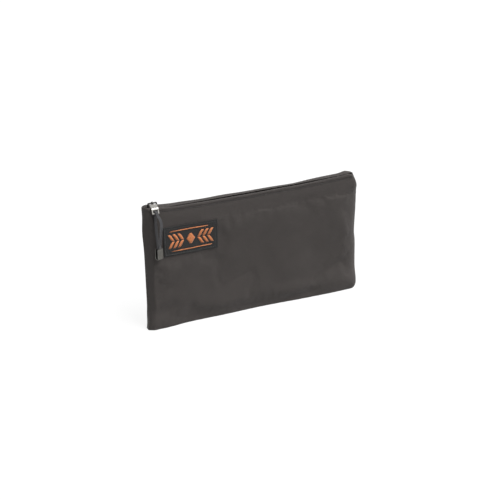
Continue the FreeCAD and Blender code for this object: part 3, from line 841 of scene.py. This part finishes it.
def wire_along(name, line, radius, sides):
    """Round wire along a line, with flat closed ends."""
    shape = bmesh.new()
    rings = []
    for place, spot in enumerate(line):
        heading = Vector(line[min(place + 1, len(line) - 1)] - line[max(place - 1, 0)]).normalized()
        across = Vector((0, 1, 0))
        upright = heading.cross(across)
        turn = Matrix((across, upright, heading)).transposed().to_4x4()
        set_up = Matrix.Translation(Vector(spot)) @ turn
        ring = bmesh.ops.create_circle(
            shape, cap_ends=False, segments=sides, radius=radius, matrix=set_up
        )["verts"]
        rings.append({edge for vert in ring for edge in vert.link_edges})
    for lower, upper in zip(rings, rings[1:]):
        bmesh.ops.bridge_loops(shape, edges=list(lower | upper))
    bmesh.ops.holes_fill(shape, edges=[edge for edge in shape.edges if edge.is_boundary], sides=0)
    bmesh.ops.recalc_face_normals(shape, faces=shape.faces)
    shade_smooth(shape)
    wire = to_scene(name, shape)
    wire.data.set_sharp_from_angle(angle=math.radians(50))
    return wire


bow = wire_along("slider_bow", bow_line, wire_radius, 14)
bow.data.materials.append(black_oxide)
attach(bow, "slider")
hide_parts("slider_crown")

# Pull tab: bright nickel-plated steel, an eye on the bow's bar, a short neck and a plate that is
# bent down over the hem and slotted for the strap.
nickel = plated_metal(
    "nickel_plate", (0.40, 0.39, 0.365), (0.26, 0.255, 0.24), roughness=0.30, scratch=0.35
)
nickel_tree = nickel.node_tree
# Painted shade: the tab within about 4 mm of the bow's bar, its eye and neck, is painted near black where the
# bow covers it.
tab_place = node_between(nickel_tree, "ShaderNodeTexCoord", {}).outputs["Object"]
bar_middle = (slider_middle, 0.0, bow_bar)
off_bar = node_between(
    nickel_tree, "ShaderNodeVectorMath", {0: tab_place, 1: bar_middle}, operation="SUBTRACT"
).outputs[0]
off_bar = node_between(
    nickel_tree, "ShaderNodeVectorMath", {0: off_bar, 1: (0.0, 1.0, 1.0)}, operation="MULTIPLY"
).outputs[0]
bar_distance = node_between(
    nickel_tree, "ShaderNodeVectorMath", {0: off_bar}, operation="LENGTH"
).outputs["Value"]
eye_painted_shade = node_between(
    nickel_tree, "ShaderNodeMapRange", {"Value": bar_distance, "From Min": 0.0030, "From Max": 0.0042}
).outputs[0]
nickel_colour = nickel_tree.nodes["Principled BSDF"].inputs["Base Color"]
tab_colour = node_between(
    nickel_tree,
    "ShaderNodeMix",
    {"Factor": eye_painted_shade, "A": (0.035, 0.033, 0.031, 1), "B": nickel_colour.links[0].from_socket},
    data_type="RGBA",
).outputs["Result"]
nickel_tree.links.new(tab_colour, nickel_colour)
tab = softened("pull_tab", "pull_tab_plate", 0.0003, 3)
tab.data.materials.append(nickel)
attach(tab, "pull_tab")

# Pull strap: narrow black webbing folded round the tab's bar, its doubled ends in the clip. The
# rear leg hangs straight and the front leg bulges out and sways aside below the bar.
strap_bar = (slider_middle, -0.013925, 0.178795)
strap_twist = math.radians(20)
pull_place = Matrix.Translation(strap_bar) @ Matrix.Rotation(strap_twist, 4, "Z")
strap_half, strap_thick = 0.0021, 0.0010
strap_route = [
    (-0.0027, -0.0525), (-0.0027, -0.0610), (-0.0027, -0.0652), (-0.0016, -0.0652), (-0.0016, -0.0610),
    (-0.0016, -0.0510), (-0.0005, -0.0340), (0.0014, -0.0120), (0.0022, -0.0010), (0.0024, 0.0027),
    (-0.0024, 0.0027), (-0.0026, -0.0010), (-0.0057, -0.0100), (-0.0084, -0.0185), (-0.0080, -0.0340),
    (-0.0052, -0.0480), (-0.0048, -0.0530), (-0.0048, -0.0610), (-0.0048, -0.0652), (-0.0037, -0.0652),
    (-0.0037, -0.0610), (-0.0037, -0.0525),
]
strap_rows, strap_columns = 150, 8
strap_line, strap_run = smooth_line(
    [(0, *spot) for spot in strap_route], np.linspace(0, 1, strap_rows + 1)
)
strap_shape = bmesh.new()
strap_weave = strap_shape.loops.layers.uv.new("weave")
bmesh.ops.create_grid(strap_shape, x_segments=strap_columns, y_segments=strap_rows, size=1)
for vert in strap_shape.verts:
    for loop in vert.link_loops:
        loop[strap_weave].uv = (vert.co.x * strap_half, (vert.co.y + 1) / 2 * strap_run)
    row = round((vert.co.y + 1) / 2 * strap_rows)
    heading = Vector(strap_line[min(row + 1, strap_rows)] - strap_line[max(row - 1, 0)]).normalized()
    face_out = heading.cross(Vector((1, 0, 0)))
    depth, up = strap_line[row][1:]
    hang = ease(-up, 0.004, 0.016) * (1 - ease(-up, 0.036, 0.050))
    curl = 0.22 * hang * (1 if depth < -0.001 else -0.7)
    across = Vector((math.cos(curl), 0, 0)) + face_out * math.sin(curl)
    cupped = 0.00025 * hang * vert.co.x**2
    sway = 0.0030 * math.exp(-(((up + 0.0125) / 0.0095) ** 2)) * ease(-depth, 0.0015, 0.005)
    spot = Vector(strap_line[row]) + across * vert.co.x * strap_half + face_out * cupped
    vert.co = pull_place @ (spot + Vector((sway, 0, 0)))
bmesh.ops.recalc_face_normals(strap_shape, faces=strap_shape.faces)
bmesh.ops.solidify(strap_shape, geom=strap_shape.faces[:], thickness=strap_thick / 2)
shade_smooth(strap_shape)
strap = to_scene("pull_webbing", strap_shape)
webbing = woven_cloth(
    "black_webbing", (0.026, 0.026, 0.028), (0.120, 0.120, 0.128),
    pitch=0.0007, relief=0.0003, roughness=0.55, sheen=0.25,
)
strap.data.materials.append(webbing)
rounded_edge = strap.modifiers.new("woven_edge", "BEVEL")
rounded_edge.width = 0.00025
rounded_edge.segments = 2
rounded_edge.limit_method = "ANGLE"
rounded_edge.angle_limit = math.radians(60)
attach(strap, "pull_strap")
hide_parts("pull_strap")

# Strap clip: gunmetal sheet folded under the strap's ends and pressed shut, open at its sides. It
# moves with the strap.
gunmetal = plated_metal(
    "gunmetal_clip", (0.12, 0.116, 0.106), (0.20, 0.195, 0.18), roughness=0.42, scratch=0.8
)
clip = softened("pull_clamp", "strap_clip", 0.0003, 3)
clip.data.materials.append(gunmetal)
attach(clip, "pull_strap")

# Label: a stiff black woven patch with a turned, stitched border, sewn on the front near the
# slider and embroidered in orange thread with a plain ornament of chevrons round a lozenge.


def skin_of(piece):
    """The piece's surface, for setting other pieces on it."""
    return BVHTree.FromPolygons(
        [vert.co for vert in piece.data.vertices], [face.vertices[:] for face in piece.data.polygons]
    )


def drop_on(skin, x, z, side):
    """Where a point of the front or back view meets a surface, and the way that surface faces there."""
    spot, facing, _, _ = skin.ray_cast(Vector((x, side * 0.2, z)), Vector((0, -side, 0)))
    return spot, facing


front_skin = skin_of(front_wall)
label_low, label_high = (Vector(corner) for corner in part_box("label_patch"))
label_middle = (label_low + label_high) / 2
label_half_width = (label_high.x - label_low.x) / 2
label_half_height = (label_high.z - label_low.z) / 2
label_thick = 0.0011
label_shape = bmesh.new()
label_weave = label_shape.loops.layers.uv.new("weave")
bmesh.ops.create_grid(label_shape, x_segments=120, y_segments=66, size=1)
for vert in label_shape.verts:
    across, up = vert.co.x, vert.co.y
    x = label_middle.x + across * label_half_width
    z = label_middle.z + up * label_half_height
    z -= 0.0004 * math.sin(across * 2.4)
    z += 0.0003 * across**2
    spot, facing = drop_on(front_skin, x, z, -1)
    edge = min((1 - abs(across)) * label_half_width, (1 - abs(up)) * label_half_height)
    rim = 0.00035 * (1 - ease(edge, 0.0018, 0.0026))
    rim -= 0.00022 * math.exp(-(((edge - 0.0027) / 0.0006) ** 2))
    rim -= 0.0004 * (1 - ease(edge, 0.0, 0.0007))
    for loop in vert.link_loops:
        loop[label_weave].uv = (across * label_half_width, up * label_half_height)
    vert.co = spot + facing * (label_thick + rim)
shade_smooth(label_shape)
face_sheet(label_shape, -1)
label_skin = BVHTree.FromBMesh(label_shape)
bmesh.ops.solidify(label_shape, geom=label_shape.faces[:], thickness=label_thick)
label = to_scene("label_cloth_patch", label_shape)
label.data.set_sharp_from_angle(angle=math.radians(60))
patch_cloth = woven_cloth(
    "label_cloth", (0.012, 0.012, 0.012), (0.036, 0.036, 0.036),
    pitch=0.0006, relief=0.0002, roughness=0.66, sheen=0.1,
)
label.data.materials.append(patch_cloth)
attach(label, "bag")
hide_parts("label_patch")


def thread_finish(name, colour, pitch, direction):
    """Twisted sewing thread: fine slanted strands, with painted shade in the gaps between them."""
    finish, tree, shader, place = new_finish(name)
    across = node_between(tree, "ShaderNodeVectorMath", {0: place, 1: direction}, operation="DOT_PRODUCT")
    turns = reckon(tree, "MULTIPLY", across.outputs["Value"], math.pi / pitch)
    strand = reckon(tree, "ABSOLUTE", reckon(tree, "SINE", turns))
    uneven = clouds(tree, place, 700.0, 2.0)
    raised = reckon(tree, "MULTIPLY_ADD", uneven, 0.5, reckon(tree, "MULTIPLY", strand, 0.7))
    # Painted shade: the gaps between the strands take a darker copy of the thread's colour.
    gap = [shade * 0.45 for shade in colour]
    tree.links.new(colour_between(tree, raised, gap, colour), shader.inputs["Base Color"])
    tree.links.new(reckon(tree, "MULTIPLY_ADD", uneven, 0.2, 0.45), shader.inputs["Roughness"])
    raise_by(tree, shader, strand, 0.8, 0.00012)
    shader.inputs["Sheen Weight"].default_value = 0.2
    return finish


orange_thread = thread_finish(
    "orange_thread", (0.95, 0.32, 0.115), pitch=0.00042, direction=(1.0, 0.0, 0.18)
)
embroidery_lift, embroidery_thick, embroidery_rim = 0.00055, 0.0003, 0.0005
ornament_rise, lozenge_half = 0.0108, 0.0068
first_tip, chevron_pitch, chevron_lean, chevron_width = 0.0092, 0.0069, 0.0056, 0.0046
bar_level, bar_half_length, bar_half_width = 0.0148, 0.0318, 0.0007
ornament = []
for flip in (-1, 1):
    for step in range(3):
        tip = flip * (first_tip + step * chevron_pitch)
        back = tip + flip * chevron_lean
        width = flip * chevron_width
        for rise in (-ornament_rise, ornament_rise):
            ornament.append([(tip, 0.0), (tip + width, 0.0), (back + width, rise), (back, rise)])
ornament.append([(-lozenge_half, 0.0), (0.0, -ornament_rise), (lozenge_half, 0.0), (0.0, ornament_rise)])
for bar in (-bar_level, bar_level):
    low, high = bar - bar_half_width, bar + bar_half_width
    ornament.append(
        [(-bar_half_length, low), (bar_half_length, low), (bar_half_length, high), (-bar_half_length, high)]
    )
stitch_shape = bmesh.new()
for outline in ornament:
    patch = bmesh.new()
    patch_face = patch.faces.new([patch.verts.new((across, 0, up)) for across, up in outline])
    bmesh.ops.recalc_face_normals(patch, faces=[patch_face])
    bmesh.ops.inset_region(patch, faces=patch.faces[:], thickness=embroidery_rim, depth=0.0)
    bmesh.ops.subdivide_edges(patch, edges=patch.edges[:], cuts=3, use_grid_fill=True)
    rim = {vert for vert in patch.verts if vert.is_boundary}
    for vert in patch.verts:
        spot, facing = drop_on(label_skin, label_middle.x + vert.co.x, label_middle.z + vert.co.z, -1)
        vert.co = spot + facing * (-0.0001 if vert in rim else embroidery_lift)
    face_sheet(patch, -1)
    bmesh.ops.solidify(patch, geom=patch.faces[:], thickness=embroidery_thick)
    patch_mesh = bpy.data.meshes.new("embroidery_patch")
    patch.to_mesh(patch_mesh)
    patch.free()
    stitch_shape.from_mesh(patch_mesh)
    bpy.data.meshes.remove(patch_mesh)
shade_smooth(stitch_shape)
embroidery = to_scene("label_embroidery", stitch_shape)
embroidery.data.materials.append(orange_thread)
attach(embroidery, "bag")

# Sewing thread: black lockstitch along both hems, which holds the tapes, and round the label. The
# back's row is parted at mid-length like its wall.
sewing_thread = thread_finish(
    "black_thread", (0.055, 0.053, 0.052), pitch=0.0003, direction=(0.7, 0.0, 0.7)
)


def sew(name, skin, holes, side, thread_radius):
    """A row of stitches from hole to hole on a surface, each sunk at its ends."""
    shape = bmesh.new()
    for start, end in zip(holes, holes[1:]):
        middle = ((start[0] + end[0]) / 2, (start[1] + end[1]) / 2)
        spot, facing = drop_on(skin, *middle, side)
        first, last = drop_on(skin, *start, side)[0], drop_on(skin, *end, side)[0]
        heading = (last - first).normalized()
        across = facing.cross(heading).normalized()
        turn = Matrix((heading, across, heading.cross(across))).transposed().to_4x4()
        size = Matrix.Diagonal(((last - first).length * 0.44, thread_radius, thread_radius * 0.85, 1))
        lie = Matrix.Translation(spot + facing * thread_radius * 0.25) @ turn @ size
        endways = Matrix.Rotation(math.pi / 2, 4, "Y")
        bmesh.ops.create_uvsphere(shape, u_segments=7, v_segments=6, radius=1, matrix=lie @ endways)
    shade_smooth(shape)
    row = to_scene(name, shape)
    row.data.materials.append(sewing_thread)
    return row


def hem_holes(first, last, gap, side):
    """Needle holes along the hem's stitch row."""
    count = round((last - first) / gap)
    places = [first + (last - first) * step / count for step in range(count + 1)]
    return [
        (x, stitch_level + hem_line(x, side) + 0.0002 * noise.noise(Vector((x * 240, first, 0))))
        for x in places
    ]


stitch_gap, hem_thread = 0.0029, 0.00032
first_hole, last_hole = -0.154, 0.150
front_holes = hem_holes(first_hole, last_hole, stitch_gap, -1)
front_topstitch = sew("front_topstitch", front_skin, front_holes, -1, hem_thread)
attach(front_topstitch, "bag")
for name, wall_name, first, last in (
    ("back_topstitch_left", "back_wall_left", first_hole, -0.0002),
    ("back_topstitch_right", "back_wall_right", 0.0002, last_hole),
):
    back_skin = skin_of(bpy.data.objects[wall_name])
    back_stitches = sew(name, back_skin, hem_holes(first, last, stitch_gap, 1), 1, hem_thread)
    bend_with_mouth(back_stitches)

border, border_gap, border_thread = 0.0027, 0.0026, 0.00028
border_width, border_height = label_half_width - border, label_half_height - border
border_corners = [
    (label_middle.x + across * border_width, label_middle.z + up * border_height)
    for across, up in ((-1, -1), (1, -1), (1, 1), (-1, 1), (-1, -1))
]
border_holes = []
for (x0, z0), (x1, z1) in zip(border_corners, border_corners[1:]):
    count = round(math.hypot(x1 - x0, z1 - z0) / border_gap)
    for step in range(count):
        border_holes.append((x0 + (x1 - x0) * step / count, z0 + (z1 - z0) * step / count))
label_stitch = sew("label_stitching", label_skin, border_holes + border_holes[:1], -1, border_thread)
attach(label_stitch, "bag")
